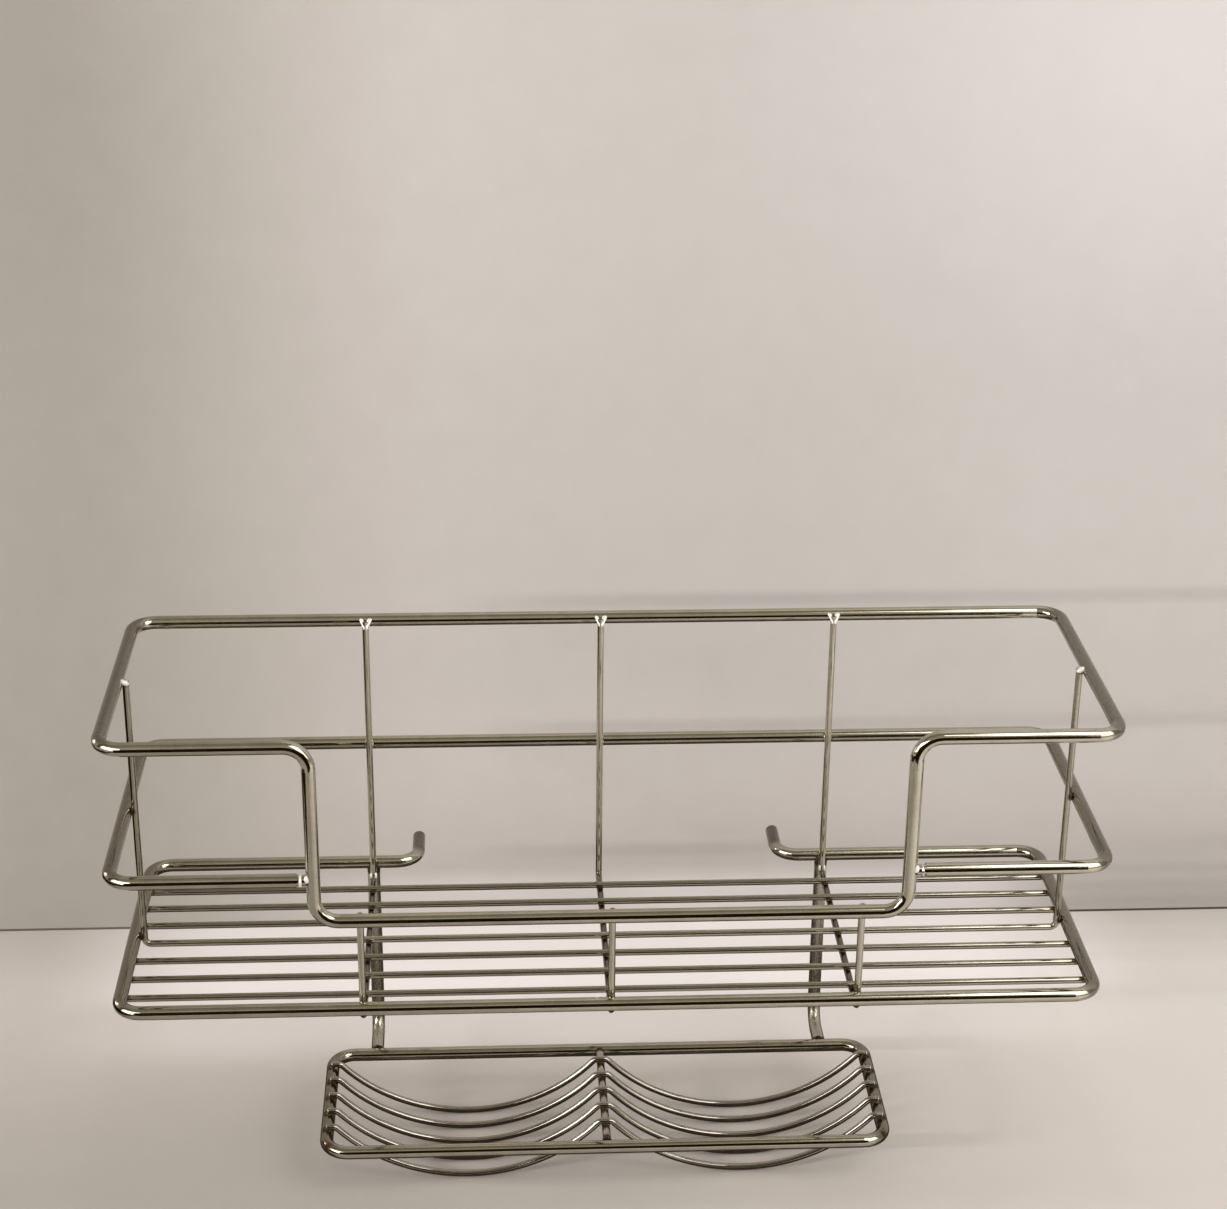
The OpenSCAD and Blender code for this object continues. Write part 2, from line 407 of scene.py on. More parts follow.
# %% Marks on the fine wires of the basket
def at_rails(dx, dy, z, reach=2.6 * MM):
    """Marks on an upright where it passes the rim, the middle rail and the base."""
    levels = [spot(dx, dy, z - level, reach) for level in (rim_z, mid_z, base_z)]
    return levels[0].larger(levels[1]).larger(levels[2])


def floor_heat(x, y, z):
    crossing = spot(from_cross(x), 0.0, z - (floor_z - fine_r), 2.4 * MM)
    end = spot(abs(x) - side_x, 0.0, z - (floor_z + fine_r), 4.2 * MM)
    return crossing.larger(end)


def hoop_heat(x, y, z):
    upright = at_rails(abs(x) - (upright_x + fine_r), 0.0, z)
    crossing = spot(from_cross(x), 0.0, z - (floor_z - fine_r), 2.4 * MM)
    return upright.larger(crossing)


def cross_heat(x, y, z):
    rows = spot(0.0, folded(y, hoop_y, row_pitch), z - (cross_z + fine_r), 2.3 * MM)
    upright = at_rails(0.0, abs(y - hoop_y) - (upright_rear_y + fine_r - hoop_y), z)
    front = spot(0.0, y - (upright_front_y - fine_r), z - dip_z, 2.4 * MM)
    return rows.larger(upright).larger(front)


def on_uprights(x, y, z):
    """1 on the two ends of the floor hoop, which stand upright."""
    return abs(x).rise(upright_x - 4 * MM, upright_x - 1 * MM)


def never(x, y, z):
    """0 everywhere, for wires that run side to side."""
    return 0.0


def always(x, y, z):
    """1 everywhere, for wires that run front to back or stand upright."""
    return 1.0


floor_wire_z = middle("floor_wire_1", Z_AXIS)


def under_floor(x, y, z):
    """1 on the stretch of a cross wire that runs front to back under the floor."""
    return z.rise(floor_wire_z + 1 * MM, floor_wire_z - 1 * MM)


# The floor wires get the darker colours: painted shade.
floor_steel = steel("floor_steel", floor_heat, never, light=FLOOR_WIRE_SHADED_LIGHT, dull_light=FLOOR_WIRE_SHADED_DULL)
cross_steel = steel("cross_wire_steel", cross_heat, under_floor, side_run_shade=1.1)
for i in range(1, 7):
    dress(f"floor_wire_{i}", floor_steel)
dress("floor_hoop", steel("hoop_steel", hoop_heat, on_uprights, side_run_shade=0.4))
for side in ("left", "middle", "right"):
    dress(f"cross_wire_{side}", cross_steel)

# %% Marks on the soap tray
def tray_side(x, y, z):
    """1 on the side runs of the tray's rim."""
    return abs(x).rise(tray_side_x - 6 * MM, tray_side_x - 2 * MM)


def tray_heat(x, y, z):
    across = (y - hoop_y).calc("WRAP", 2.5 * wave_pitch, -2.5 * wave_pitch)
    under = z - (tray_z + frame_r)
    rows = spot(abs(x) - tray_side_x, folded(across, 0.0, wave_pitch), under, 3.8 * MM) * 1.1
    ends = abs(y - hoop_y) - (hoop_y - tray_front_y - frame_r)
    spine = spot(x, ends, z - tray_z, 2.8 * MM)
    hanger = spot(abs(x) - hanger_x, y - (tray_rear_y + frame_r), z - tray_z, 3.4 * MM)
    return rows.larger(spine).larger(hanger)


def wave_heat(x, y, z):
    under = z - (crest_z - fine_r)
    tail = spot(abs(x) - (tray_side_x - 0.5 * MM), 0.0, under, 2.8 * MM)
    return tail.larger(spot(x, 0.0, under, 2.3 * MM))


def spine_heat(x, y, z):
    rows = spot(0.0, folded(y, hoop_y, wave_pitch), z - spine_high.z, 3.4 * MM)
    ends = spot(0.0, abs(y - hoop_y) - (hoop_y - tray_front_y - frame_r), 0.0, 3.4 * MM)
    return rows.larger(ends)


def hanger_heat(x, y, z):
    top = spot(0.0, 0.0, z - hanger_high.z, 3.6 * MM)
    foot = spot(0.0, y - hanger_low.y, z - tray_z, 3.4 * MM)
    return top.larger(foot)


dress("tray_rim", steel("tray_steel", tray_heat, tray_side, side_run_shade=0.65))
dress("tray_spine", steel("spine_steel", spine_heat, always, polish=0.16))
wave_steel = steel("wave_steel", wave_heat, never, light=WAVE_LIGHT, dull_light=WAVE_DULL)
for i in range(1, 6):
    dress(f"wave_wire_{i}", wave_steel)
hanger_steel = steel("hanger_steel", hanger_heat, always, polish=0.24)
dress("hanger_left", hanger_steel)
dress("hanger_right", hanger_steel)

# %% [markdown]
# ## Weld beads
#
# Resistance welding presses two hot wires together until they sink into each other, and a little
# metal is squeezed out round the spot. That squeezed-out metal is a small lumpy disc between the
# wires. It starts as a ball that is dented in edit mode, and flattened copies of the ball go to
# every crossing.

# %% Make one bead and copy it
def deselect():
    """Leaves nothing selected, so that the next operator acts on its own new piece only."""
    bpy.ops.object.select_all(action="DESELECT")


def settle(piece, material):
    """Finishes a piece: its place goes into its mesh, and it rides with the caddy."""
    deselect()
    piece.select_set(True)
    bpy.context.view_layer.objects.active = piece
    bpy.ops.object.transform_apply(location=True, rotation=True, scale=True)
    bpy.ops.object.shade_smooth()
    piece.data.materials.clear()
    piece.data.materials.append(material)
    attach(piece, "root")
    return piece


def lumpy_ball(name, seed):
    """A ball of radius 1 m with soft dents, the start of every bead."""
    deselect()
    bpy.ops.mesh.primitive_uv_sphere_add(segments=14, ring_count=8, radius=1)
    ball = bpy.context.active_object
    ball.name = name
    bpy.ops.object.mode_set(mode="EDIT")
    bpy.ops.mesh.select_all(action="SELECT")
    bpy.ops.transform.vertex_random(offset=0.10, uniform=0.2, normal=1.0, seed=seed)
    bpy.ops.mesh.vertices_smooth(factor=0.5, repeat=1)
    bpy.ops.object.mode_set(mode="OBJECT")
    smooth = ball.modifiers.new("smooth", "SUBSURF")
    smooth.levels = 1
    smooth.render_levels = 1
    bpy.ops.object.modifier_apply(modifier=smooth.name)
    return ball


def beads(name, places, size, material, seed=1, lean=0.0):
    """Copies a lumpy ball to each place, with half-widths size (x, y, z), as one piece.

    A lean tips the inner end of each bead down by that angle."""
    master = lumpy_ball(name, seed)
    copies = []
    for number, place in enumerate(places):
        copy = master.copy()
        copy.data = master.data.copy()
        bpy.context.collection.objects.link(copy)
        copy.rotation_euler = (math.pi * (number % 2), 0, math.pi * (number % 3))
        copy.data.transform(copy.rotation_euler.to_matrix().to_4x4())
        copy.rotation_euler = (0, math.copysign(lean, -place[0]), 0)
        copy.scale = size
        copy.location = place
        copies.append(copy)
    bpy.data.objects.remove(master)
    deselect()
    for copy in copies:
        copy.select_set(True)
    bpy.context.view_layer.objects.active = copies[0]
    bpy.ops.object.join()
    piece = bpy.context.active_object
    piece.name = name
    settle(piece, material)
    print(name, "holds", len(places), "beads")
    return piece

# %% [markdown]
# ### The metal of the beads
#
# A bead has been molten. Its skin is smoother than the wire's in places and scaly in others, and
# its colour goes from bright steel through straw to black oxide within a millimetre.

# %% The recipe for the weld metal
def weld_metal(name, darkness, bright, roughness, metallic=1.0):
    """Once-molten steel. Darkness moves it from bright towards burnt."""
    material, surface, place = fresh_material(name)
    lumps = grain(place, 1500, detail=4.0, roughness=0.65)
    scale = grain(place, 520, detail=3.0, shift=(0.3, 0.1, 0.2))
    burnt = (lumps * 0.5 + scale * 0.5 + (darkness - 0.5)).rise(0.38, 0.66)
    straw = (scale + (darkness - 0.5) * 0.6).rise(0.35, 0.6)
    colour = burnt.blend(straw.blend(bright, STRAW), BURNT)
    rough = roughness + burnt * 0.30 + (lumps - 0.5) * 0.10
    height = lumps * 0.6 + burnt * 0.4
    bump = place.node("ShaderNodeBump", inputs={"Strength": 0.30, "Distance": 0.0002, "Height": height})
    inputs = {"Base Color": colour, "Metallic": metallic, "Roughness": rough, "Normal": bump}
    skin = place.node("ShaderNodeBsdfPrincipled", inputs=inputs)
    material.node_tree.links.new(skin.socket, surface)
    return material


# Nearly white and only a quarter metallic: the bright look of the flowed arms and of some beads is a painted
# highlight on once-molten metal.
flowed_metal_painted_highlight = weld_metal("flowed_metal_painted_highlight", 0.02, (0.98, 0.96, 0.91, 1), 0.22, metallic=0.25)
bright_weld = weld_metal("bright_weld", 0.16, (0.75, 0.72, 0.65, 1), 0.18)
dark_weld = weld_metal("dark_weld", 0.62, STEEL_LIGHT, 0.14)
print("weld metals:", ", ".join(m.name for m in (flowed_metal_painted_highlight, bright_weld, dark_weld)))

# %% Place the beads where wires cross
cross_xs = (-hanger_x, 0, hanger_x)
rail_touch = frame_r - 0.1 * MM
floor_touch_z = (floor_z + base_z) / 2 - 0.6 * MM
beads(
    "beads_floor_ends",
    [(s * side_x, y, floor_touch_z) for s in (-1, 1) for y in row_ys if y != hoop_y],
    (1.7 * MM, 1.6 * MM, 0.8 * MM), dark_weld, seed=3,
)
beads(
    "beads_floor_crossings",
    [(x, y, (floor_z + cross_z) / 2) for x in cross_xs for y in row_ys],
    (1.35 * MM, 1.35 * MM, 0.55 * MM), dark_weld, seed=5,
)
beads(
    "beads_middle_rail",
    [(x, rear_y - rail_touch, mid_z) for x in cross_xs],
    (1.75 * MM, 0.55 * MM, 2.2 * MM), bright_weld, seed=7,
)
beads(
    "beads_base_rear",
    [(s * hanger_x, rear_y - rail_touch, base_z - 0.4 * MM) for s in (-1, 1)],
    (1.8 * MM, 0.7 * MM, 2.0 * MM), dark_weld, seed=9,
)
beads(
    "beads_front_rails",
    [(x, front_y + rail_touch, z) for x in cross_xs for z in (base_z, dip_z)],
    (1.8 * MM, 0.7 * MM, 1.9 * MM), dark_weld, seed=11,
)
beads(
    "beads_hoop_uprights",
    [(s * (side_x - rail_touch), hoop_y, z) for s in (-1, 1) for z in (mid_z, base_z)],
    (0.8 * MM, 1.9 * MM, 1.9 * MM), dark_weld, seed=13,
)
beads(
    "beads_arm_necks",
    [(s * (leg_x + frame_r + 0.9 * MM), front_y - 1.1 * MM, mid_z + 0.9 * MM) for s in (-1, 1)],
    (1.35 * MM, 1.3 * MM, 1.6 * MM), flowed_metal_painted_highlight, seed=19,
)
beads(
    "beads_hanger_fronts",
    [(s * (hanger_x + d * MM), upright_rear_y - 0.9 * MM, base_z - 3.8 * MM)
     for s in (-1, 1) for d in (-0.95, 0.95)],
    (0.5 * MM, 1.1 * MM, 1.3 * MM), flowed_metal_painted_highlight, seed=23,
)
beads(
    "beads_hoop_tips",
    [(s * (upright_x + 0.45 * MM), hoop_y - 0.7 * MM, hoop_high.z - 0.35 * MM) for s in (-1, 1)],
    (2.15 * MM, 1.35 * MM, 0.95 * MM), flowed_metal_painted_highlight, seed=25, lean=math.radians(24),
)
beads(
    "beads_wave_crests",
    [(0, y, crest_z - fine_r - 0.1 * MM) for y in wave_ys],
    (1.8 * MM, 1.6 * MM, 0.8 * MM), dark_weld, seed=15,
)
beads(
    "beads_wave_tails",
    [(s * (tray_side_x - 0.6 * MM), y, crest_z - fine_r + 0.1 * MM) for s in (-1, 1) for y in wave_ys],
    (1.8 * MM, 1.55 * MM, 0.85 * MM), dark_weld, seed=17,
)

# %% [markdown]
# ## Rounded wire ends
#
# The shears leave a flat end, and the tumbling drum rounds it. A low dome on each cut end gives
# that soft edge, which catches a bright spot of light.

# %% Domes on the cut ends
DOME_HEIGHT = 0.42  # both as a share of the wire's radius
DOME_WIDTH = 0.985
STAND_OFF_START = 12 * MM  # behind the rear rail, past the bend


def domes(name, ends, radius, direction):
    """Low domes over cut wire ends that face along one axis."""
    size = [radius * DOME_WIDTH] * 3
    size[direction] = radius * DOME_HEIGHT
    return beads(name, ends, tuple(size), bright_weld, seed=21)


hoop_ends = [(s * upright_x, hoop_y, hoop_high.z) for s in (-1, 1)]
domes("tips_hoop", hoop_ends, fine_r, Z_AXIS)
cross_ends = [(x, upright_front_y, dip_z + hoop_high.z - rim_z) for x in cross_xs]
domes("tips_cross_front", cross_ends, fine_r, Z_AXIS)
floor_end_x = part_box("floor_wire_1")[1].x
for side_name, end_x in (("left", -floor_end_x), ("right", floor_end_x)):
    floor_ends = [(end_x, y, floor_z) for y in row_ys if y != hoop_y]
    domes(f"tips_floor_{side_name}", floor_ends, fine_r, X_AXIS)
wave_ends = [(s * tray_side_x, y, crest_z) for s in (-1, 1) for y in wave_ys]
domes("tips_waves", wave_ends, fine_r, X_AXIS)
stand_off_x = max(v.co.x for v in wires["base_frame"].data.vertices
                  if v.co.y > rear_y + STAND_OFF_START) - frame_r
stand_off_ends = [(s * stand_off_x, base_high.y, base_z) for s in (-1, 1)]
domes("tips_stand_offs", stand_off_ends, frame_r, Y_AXIS)

# %% [markdown]
# ## Flared joints at the rim
#
# Each upright of a cross wire ends on the front of the rim's rear rail. There the hot end splits
# and flows sideways up the rail, so that it looks like a small letter Y with two shiny arms. An
# arm starts as a short cylinder in front of the upright's end. Its top is extruded in steps, each
# moved outwards, back over the end of the upright and up the rail, and a subdivision surface turns
# the steps into one smooth drop.

# %% Model one arm of the Y by extruding a cylinder
ARM_DEPTH = 0.5 * MM
ARM_STEPS = (
    # outwards, back and up in millimetres, and widen as a factor, each from the step before
    (0.10, 0.10, 0.50, 1.30),
    (0.22, 0.45, 0.65, 1.25),
    (0.32, 0.65, 0.75, 1.25),
    (0.32, 0.70, 0.75, 1.15),
    (0.15, 0.35, 0.35, 0.70),
)
SAME_LEVEL = 1e-7  # metres


def select_top(piece):
    """Selects the cap of the piece: the faces whose corners are all at its highest level."""
    mesh = bmesh.from_edit_mesh(piece.data)
    top = max(v.co.z for v in mesh.verts)
    for face in mesh.faces:
        face.select_set(all(v.co.z > top - SAME_LEVEL for v in face.verts))
    mesh.select_flush(True)
    bmesh.update_edit_mesh(piece.data)


def flowed_arm(name, x, side, girth):
    """One arm of the Y at a cross wire. Side is -1 for the left arm and 1 for the right one."""
    place = Vector((x + side * 0.55 * MM, upright_rear_y - 1.1 * MM, rim_z - 1.75 * MM))
    deselect()
    bpy.ops.mesh.primitive_cylinder_add(vertices=14, radius=girth, depth=ARM_DEPTH, location=place)
    piece = bpy.context.active_object
    piece.name = name
    bpy.ops.object.transform_apply(location=True, rotation=False, scale=False)
    bpy.ops.object.mode_set(mode="EDIT")
    bpy.ops.mesh.select_mode(type="FACE")
    place.z += ARM_DEPTH / 2
    for outwards, back, up, widen in ARM_STEPS:
        step = Vector((side * outwards, back, up)) * MM
        place += step
        select_top(piece)
        bpy.ops.mesh.extrude_region_move(TRANSFORM_OT_translate={"value": step})
        bpy.ops.transform.resize(value=(widen, widen, 1), center_override=place)
    bpy.ops.object.mode_set(mode="OBJECT")
    smooth = piece.modifiers.new("smooth", "SUBSURF")
    smooth.levels = 2
    smooth.render_levels = 2
    bpy.ops.object.modifier_apply(modifier=smooth.name)
    return settle(piece, flowed_metal_painted_highlight)


for side_name, x in zip(("left", "middle", "right"), (-hanger_x, 0, hanger_x)):
    flowed_arm(f"joint_{side_name}_a", x, -1, 0.34 * MM)
    flowed_arm(f"joint_{side_name}_b", x, 1, 0.44 * MM)
print("two flowed arms at each of the three uprights")

# %% [markdown]
# ## Collars at the butt welds
#
# Where a wire's end is welded square to another wire, the metal is squeezed out as a ring round
# the end. A torus, dented a little, is that ring.

# %% Rings round the butted ends
def collar(name, places, radius, thickness, axis, material, seed=2):
    """Rings of squeezed-out metal round wires that run along one axis."""
    turns = {"x": (0, math.pi / 2, 0), "y": (math.pi / 2, 0, 0), "z": (0, 0, 0)}
    rings = []
    for place in places:
        deselect()
        bpy.ops.mesh.primitive_torus_add(
            location=place, rotation=turns[axis], major_radius=radius, minor_radius=thickness,
            major_segments=28, minor_segments=8,
        )
        ring = bpy.context.active_object
        bpy.ops.object.mode_set(mode="EDIT")
        bpy.ops.mesh.select_all(action="SELECT")
        bpy.ops.transform.vertex_random(offset=thickness * 0.35, normal=1.0, seed=seed + len(rings))
        bpy.ops.mesh.vertices_smooth(factor=0.5, repeat=2)
        bpy.ops.object.mode_set(mode="OBJECT")
        rings.append(ring)
    deselect()
    for ring in rings:
        ring.select_set(True)
    bpy.context.view_layer.objects.active = rings[0]
    bpy.ops.object.join()
    piece = bpy.context.active_object
    piece.name = name
    print(name, "holds", len(rings), "rings")
    return settle(piece, material)


hanger_tops = [(s * hanger_x, rear_y, hanger_high.z - 0.2 * MM) for s in (-1, 1)]
collar("collars_hanger_tops", hanger_tops, frame_r - 0.15 * MM, 0.5 * MM, "z", dark_weld)
hanger_feet = [(s * hanger_x, tray_rear_y + frame_r, tray_z) for s in (-1, 1)]
collar("collars_hanger_feet", hanger_feet, frame_r - 0.1 * MM, 0.5 * MM, "y", dark_weld)
spine_ends = [(0, y, middle("tray_spine", Z_AXIS)) for y in (tray_rear_y - frame_r, tray_front_y + frame_r)]
collar("collars_spine", spine_ends, spine_r - 0.05 * MM, 0.45 * MM, "y", dark_weld)
for side_name, side, metal in (("left", -1, flowed_metal_painted_highlight), ("right", 1, bright_weld)):
    neck = (side * (arm_x - 1.15 * MM), front_y, mid_z - 0.2 * MM)
    collar(f"collar_arm_{side_name}", [neck], frame_r - 0.62 * MM, 0.66 * MM, "x", metal)

# %% [markdown]
# ## Floor and wall
#
# A pale floor and a pale wall, both plain, with a dark strip about a millimetre high where they
# meet: painted shade at the joint. Their paint is lighter towards the right, and the floor's also
# towards the back, as painted light. A soft pool of light, painted as a glow in the paint, lies
# behind the basket, on the floor and on the foot of the wall. The caddy stands on the floor on the
# lowest points of its waves. Each plane is hidden from behind, so that a camera behind the wall
# still sees the caddy: the Backfacing output switches to a transparent shader there.

# %% Build the room
WALL_Y = 0.115
WALL_LIGHT = (0.790, 0.770, 0.760, 1)
WALL_MIDDLE = (0.552, 0.512, 0.482, 1)
WALL_DARK = (0.335, 0.310, 0.275, 1)
FLOOR_LIGHT = (0.770, 0.720, 0.670, 1)
FLOOR_MIDDLE = (0.598, 0.548, 0.502, 1)
FLOOR_DARK = (0.430, 0.397, 0.357, 1)
# A dark strip painted where the wall meets the floor: painted shade at the joint.
JOINT_SHADE_LIGHT = (0.110, 0.095, 0.078, 1)
JOINT_SHADE_MIDDLE = (0.085, 0.072, 0.059, 1)
JOINT_SHADE_DARK = (0.060, 0.050, 0.040, 1)
JOINT_SHADE_HEIGHT = 1.1 * MM
# The pool of light is painted: a glow in the paint of the floor and the wall.
POOL_LIGHT = (1.0, 0.93, 0.97, 1)
POOL_STRENGTH = 0.30
UNLIT = (0.0, 0.0, 0.0, 1)
ROOM_SIZE = 6
WALL_HEIGHT = 1.8
UPRIGHT = (math.pi / 2, 0, 0)
LEVEL = (0, 0, 0)


def plain_surface(name, light, middle, dark, painted_light_at, pool_at=None):
    """A matt painted surface with faint clouds, seen from its front only.

    The tone function says how light it is painted, from 0 to 1, as painted light and shade, and pool_at where
    a pool of light is painted as a glow."""
    material, surface, place = fresh_material(name)
    clouds = grain(place, 3, detail=3.0)
    fine = grain(place, 60, detail=4.0)
    mix = (clouds * 0.6 + fine * 0.4 - 0.5) * 0.22 + painted_light_at(*split(place))
    colour = (mix * 2 - 1).blend((mix * 2).blend(dark, middle), light)
    inputs = {"Base Color": colour, "Roughness": 0.85}
    if pool_at:
        inputs["Emission Color"] = pool_at(*split(place)).blend(UNLIT, POOL_LIGHT)
        inputs["Emission Strength"] = POOL_STRENGTH
    front = place.node("ShaderNodeBsdfPrincipled", inputs=inputs)
    behind = place.node("ShaderNodeBsdfTransparent")
    backfacing = Signal(place.tree.nodes.new("ShaderNodeNewGeometry").outputs["Backfacing"])
    both = place.node("ShaderNodeMixShader", inputs={0: backfacing, 1: front, 2: behind})
    place.tree.links.new(both.socket, surface)
    return material


def plane(name, centre, size, turn, material):
    """A flat stage piece."""
    deselect()
    bpy.ops.mesh.primitive_plane_add(size=1, location=centre, rotation=turn)
    piece = bpy.context.active_object
    piece.name = name
    piece.scale = (size[0], size[1], 1)
    bpy.ops.object.transform_apply(location=True, rotation=True, scale=True)
    piece.data.materials.append(material)
    return piece


def floor_pool(x, y, z):
    """A pool of light painted as a glow on the floor behind the basket."""
    wide = x.rise(-0.245, -0.150) * x.rise(0.260, 0.165)
    near = y.rise(-0.004, 0.024) * (0.4 - x.rise(0.06, 0.16) * 0.16)
    return wide * (y.rise(0.042, 0.060) * 0.6 + near)


def wall_pool(x, y, z):
    """The rim of the same painted pool of light, on the foot of the wall."""
    wide = (x.rise(-0.20, -0.05) * 0.5 + x.rise(0.0, 0.04) * 0.2) * x.rise(0.225, 0.170)
    return wide * z.rise(-0.171, -0.183)


def floor_painted_light(x, y, z):
    """Painted light: lighter towards the back and the right, with a little painted shade at the foot of the
    wall.
    """
    back = y.rise(-0.10, 0.06)
    return back * 0.62 + x.rise(-0.25, 0.30) * (0.77 - back * 0.47) - y.rise(0.06, 0.112) * 0.29


def wall_painted_light(x, y, z):
    """Painted light: dark at the far left, lighter to the right and most of all at the top right."""
    right = x.rise(-0.23, -0.05)
    high = z.rise(0.03, 0.20)
    level = z.rise(-0.215, -0.12) * 0.36 + high * 0.055 + 0.20
    corner = x.rise(0.03, 0.25) * (z.rise(-0.12, 0.03) * 0.08 + high * 0.20 + 0.02)
    return right * (level + corner) + (1 - right) * z.rise(0.17, 0.02) * 0.045


def joint_shade_tone(x, y, z):
    """Painted shade at the joint, darker towards the right."""
    return x.rise(0.0, -0.25)


stand_z = cad_low.z - 0.2 * MM
floor_paint = plain_surface("floor_paint", FLOOR_LIGHT, FLOOR_MIDDLE, FLOOR_DARK, floor_painted_light, floor_pool)
wall_paint = plain_surface("wall_paint", WALL_LIGHT, WALL_MIDDLE, WALL_DARK, wall_painted_light, wall_pool)
joint_shade_paint = plain_surface("joint_shade_paint", JOINT_SHADE_LIGHT, JOINT_SHADE_MIDDLE, JOINT_SHADE_DARK, joint_shade_tone)
plane("floor", (0, WALL_Y - ROOM_SIZE / 4, stand_z), (ROOM_SIZE, ROOM_SIZE / 2), LEVEL, floor_paint)
plane("wall", (0, WALL_Y, stand_z + WALL_HEIGHT / 2), (ROOM_SIZE, WALL_HEIGHT), UPRIGHT, wall_paint)
# The dark strip at the foot of the wall is painted shade.
joint_shade_place = (0, WALL_Y - 0.3 * MM, stand_z + JOINT_SHADE_HEIGHT / 2)
plane("wall_joint_shade", joint_shade_place, (ROOM_SIZE, JOINT_SHADE_HEIGHT), UPRIGHT, joint_shade_paint)
print("the wall stands", round(1000 * (WALL_Y - rear_y)), "mm behind the rear rail")

# %% [markdown]
# ## Lights
#
# Polished wire shows its surroundings more than its own colour, so the room gives it its stripes.
# The room here is a world that only shiny surfaces see in detail, two lamps, bright panes for the
# highlights, a glowing white card, and dark flags: cards that stand near polished metal so that it
# reflects a crisp dark line. Panes, card and flags are hidden from the camera and throw no shadow.
# The low lamp on the left is a narrow strip, so the rails throw thin level shadows on the wall.

# %% The world
def build_world():
    """Light from all sides: even for plain surfaces, and shaped like a room for polished ones."""
    world = bpy.data.worlds.new("room")
    world.use_nodes = True
    bpy.context.scene.world = world
    tree = world.node_tree
    tree.nodes.clear()
    surface = tree.nodes.new("ShaderNodeOutputWorld").inputs["Surface"]
    direction = Signal(tree.nodes.new("ShaderNodeTexCoord").outputs["Generated"])
    rays = tree.nodes.new("ShaderNodeLightPath")
    x, y, z = split(direction)
    overhead = z.rise(0.74, 0.86)
    room = overhead.blend((0.50, 0.465, 0.375, 1), (0.31, 0.285, 0.195, 1))
    room = z.rise(0.05, -0.05).blend(room, (0.42, 0.383, 0.335, 1))
    room = (x.rise(-0.35, -0.75) * 0.6).blend(room, (0.10, 0.09, 0.07, 1))
    glossy = Signal(rays.outputs["Is Glossy Ray"])
    seen = Signal(rays.outputs["Is Camera Ray"])
    colour = glossy.blend((0.56, 0.55, 0.54, 1), room)
    colour = seen.blend(colour, (0.80, 0.775, 0.745, 1))
    light = direction.node("ShaderNodeBackground", inputs={"Color": colour, "Strength": 1.0})
    tree.links.new(light.socket, surface)
    print("world has", len(tree.nodes), "nodes")


build_world()

# %% The lamps
def soft_box(name, place, target, size, watts, colour):
    """A rectangular lamp that faces its target."""
    lamp = bpy.data.lights.new(name, "AREA")
    lamp.shape = "RECTANGLE"
    lamp.size, lamp.size_y = size
    lamp.energy = watts
    lamp.color = colour
    holder = bpy.data.objects.new(name, lamp)
    bpy.context.collection.objects.link(holder)
    holder.location = place
    holder.rotation_mode = "QUATERNION"
    holder.rotation_quaternion = (Vector(target) - Vector(place)).to_track_quat("-Z", "Y")
    print(name, "lamp:", watts, "W")
    return holder


low_strip = soft_box(
    "low_strip", place=(-1.30, -0.68, 0.255), target=(-1.30, 0.05, -0.01), size=(0.9, 0.02),
    watts=15, colour=(1, 0.96, 0.91),
)
low_strip.visible_glossy = False
soft_box(
    "right_wash", place=(1.30, -1.20, 1.50), target=(0.20, 0.05, -0.05), size=(1.5, 1.5),
    watts=26.5, colour=(1, 0.995, 0.985),
)

# %% The flags, the panes and the white card
CARD_GRAIN = 220


def card_paper(name, dark, light):
    """Matt card with a faint fibre grain."""
    material, surface, place = fresh_material(name)
    colour = grain(place, CARD_GRAIN).blend(dark, light)
    skin = place.node("ShaderNodeBsdfPrincipled", inputs={"Base Color": colour, "Roughness": 0.95})
    skin.socket.node.inputs["Specular IOR Level"].default_value = 0.0
    material.node_tree.links.new(skin.socket, surface)
    return material


def glowing_card():
    """White card with a painted glow: dim at its left edge, bright at its right."""
    material, surface, place = fresh_material("white_card")
    x, y, z = split(place)
    glow = (x.rise(-0.05, 0.45) + (grain(place, 6) - 0.5) * 0.1).blend(UNLIT, (1.0, 0.96, 0.90, 1))
    paper = grain(place, CARD_GRAIN).blend((0.62, 0.58, 0.52, 1), (0.70, 0.65, 0.59, 1))
    inputs = {"Base Color": paper, "Roughness": 0.9, "Emission Color": glow, "Emission Strength": 0.55}
    skin = place.node("ShaderNodeBsdfPrincipled", inputs=inputs)
    material.node_tree.links.new(skin.socket, surface)
    return material


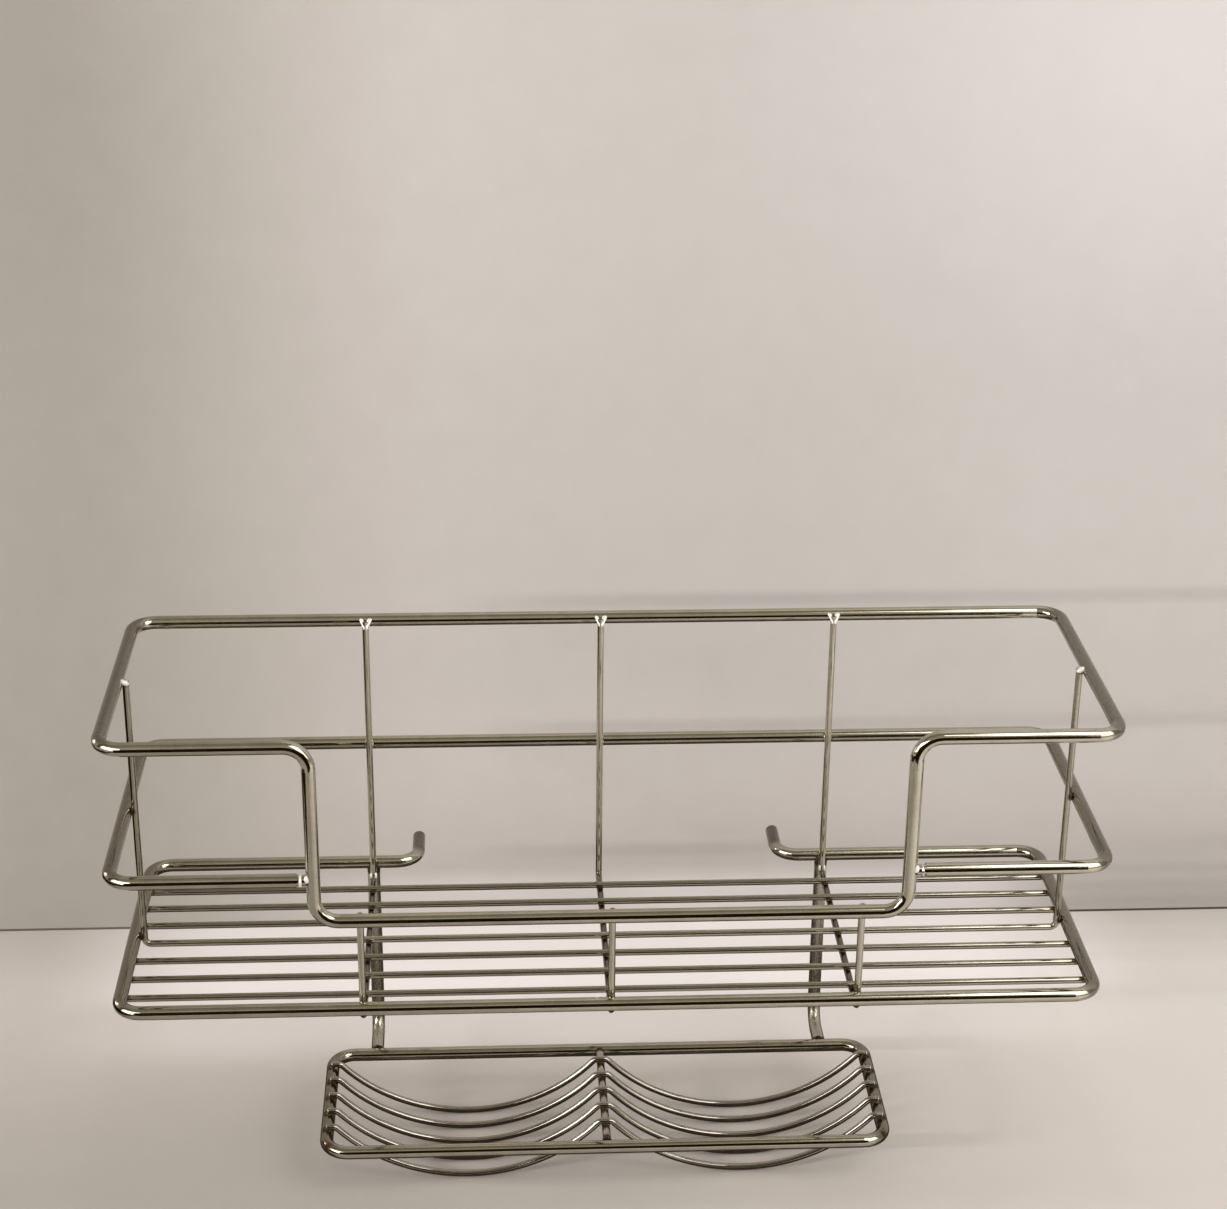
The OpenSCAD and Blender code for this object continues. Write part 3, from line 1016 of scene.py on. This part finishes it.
def window_card(name, strength):
    """A bright window pane with faint clouds behind it."""
    material, surface, place = fresh_material(name)
    clouds = (0.85 + grain(place, 5) * 0.3).smaller(1.0)
    glow = clouds.blend(UNLIT, (1.0, 0.98, 0.94, 1))
    inputs = {
        "Base Color": (0.5, 0.5, 0.5, 1), "Roughness": 0.9,
        "Emission Color": glow, "Emission Strength": strength,
    }
    skin = place.node("ShaderNodeBsdfPrincipled", inputs=inputs)
    material.node_tree.links.new(skin.socket, surface)
    return material


def flag(name, centre, size, turn, material):
    """A card that only mirrors see."""
    card = plane(name, centre, size, turn, material)
    card.visible_camera = False
    card.visible_diffuse = False
    card.visible_transmission = False
    card.visible_shadow = False
    return card


black = card_paper("black_card", (0.020, 0.013, 0.003, 1), (0.030, 0.021, 0.006, 1))
# Dull dark paper for the card under the caddy: painted shade.
under_shade_paper = card_paper("under_shade_card", (0.080, 0.068, 0.050, 1), (0.110, 0.095, 0.072, 1))
front_panes = window_card("front_panes", 5.0)
right_panes = window_card("right_panes", 2.0)
sky_panes = window_card("sky_panes", 3.4)
side_panes = window_card("side_panes", 4.0)
facing_right = (math.pi / 2, 0, math.pi / 2)
on_floor_z = stand_z + 0.5 * MM
cards = [
    flag("front_flag", (-0.06, -0.45, -0.022), (0.64, 0.320), UPRIGHT, black),
    flag("left_flag", (-0.36, -0.19, -0.14), (0.60, 0.12), facing_right, black),
    flag("window_front", (-1.0, -0.85, 0.46), (1.40, 0.86), (math.pi / 2, 0, math.radians(-50)), front_panes),
    flag("window_right", (0.78, -0.75, 0.50), (0.84, 0.80), (math.pi / 2, 0, math.radians(20)), right_panes),
    flag("skylight", (0.56, -0.60, 0.88), (0.44, 0.75), (math.radians(30.2), 0, 0), sky_panes),
    flag("window_side", (-0.55, 0.110, 0.06), (0.24, 0.18), UPRIGHT, side_panes),
    flag("white_card", (0.42, -0.46, on_floor_z), (0.90, 0.56), LEVEL, glowing_card()),
    # Seen only in reflections, this card on the floor under the caddy is painted shade there.
    flag("under_shade_flag", (0, 0.01, on_floor_z), (0.40, 0.21), LEVEL, under_shade_paper),
]
print("flags, panes and cards:", len(cards))
